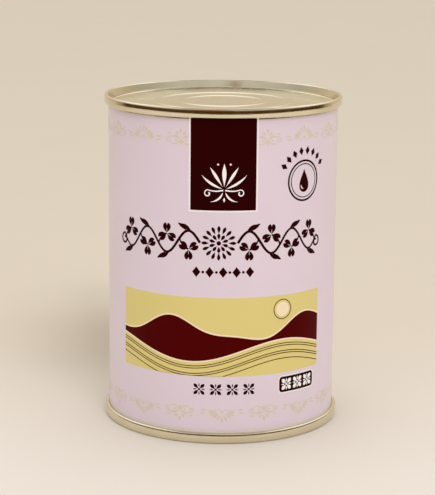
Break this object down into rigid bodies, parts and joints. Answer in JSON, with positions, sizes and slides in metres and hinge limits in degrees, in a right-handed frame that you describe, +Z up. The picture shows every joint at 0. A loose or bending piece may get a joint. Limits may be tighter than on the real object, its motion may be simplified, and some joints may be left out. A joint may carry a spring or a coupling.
{
  "type": "evaporated milk can",
  "caption": "Shut cylindrical food can of printed tinplate, with a double-seamed flat end at top and bottom, standing upright.",
  "frame": {"origin": "middle of the base circle that the can stands on", "axes": "+Z up along the can's axis, -Y towards the front of the print"},
  "size_m": [0.0762, 0.0762, 0.105],
  "materials": {
    "printed_wall": "lacquered print on tinplate, satin gloss",
    "tinplate": "bright tinplate with a clear pale gold lacquer"
  },
  "bodies": {
    "root": {"can_body": "printed_wall", "top_end": "tinplate", "bottom_end": "tinplate"}
  },
  "joints": []
}
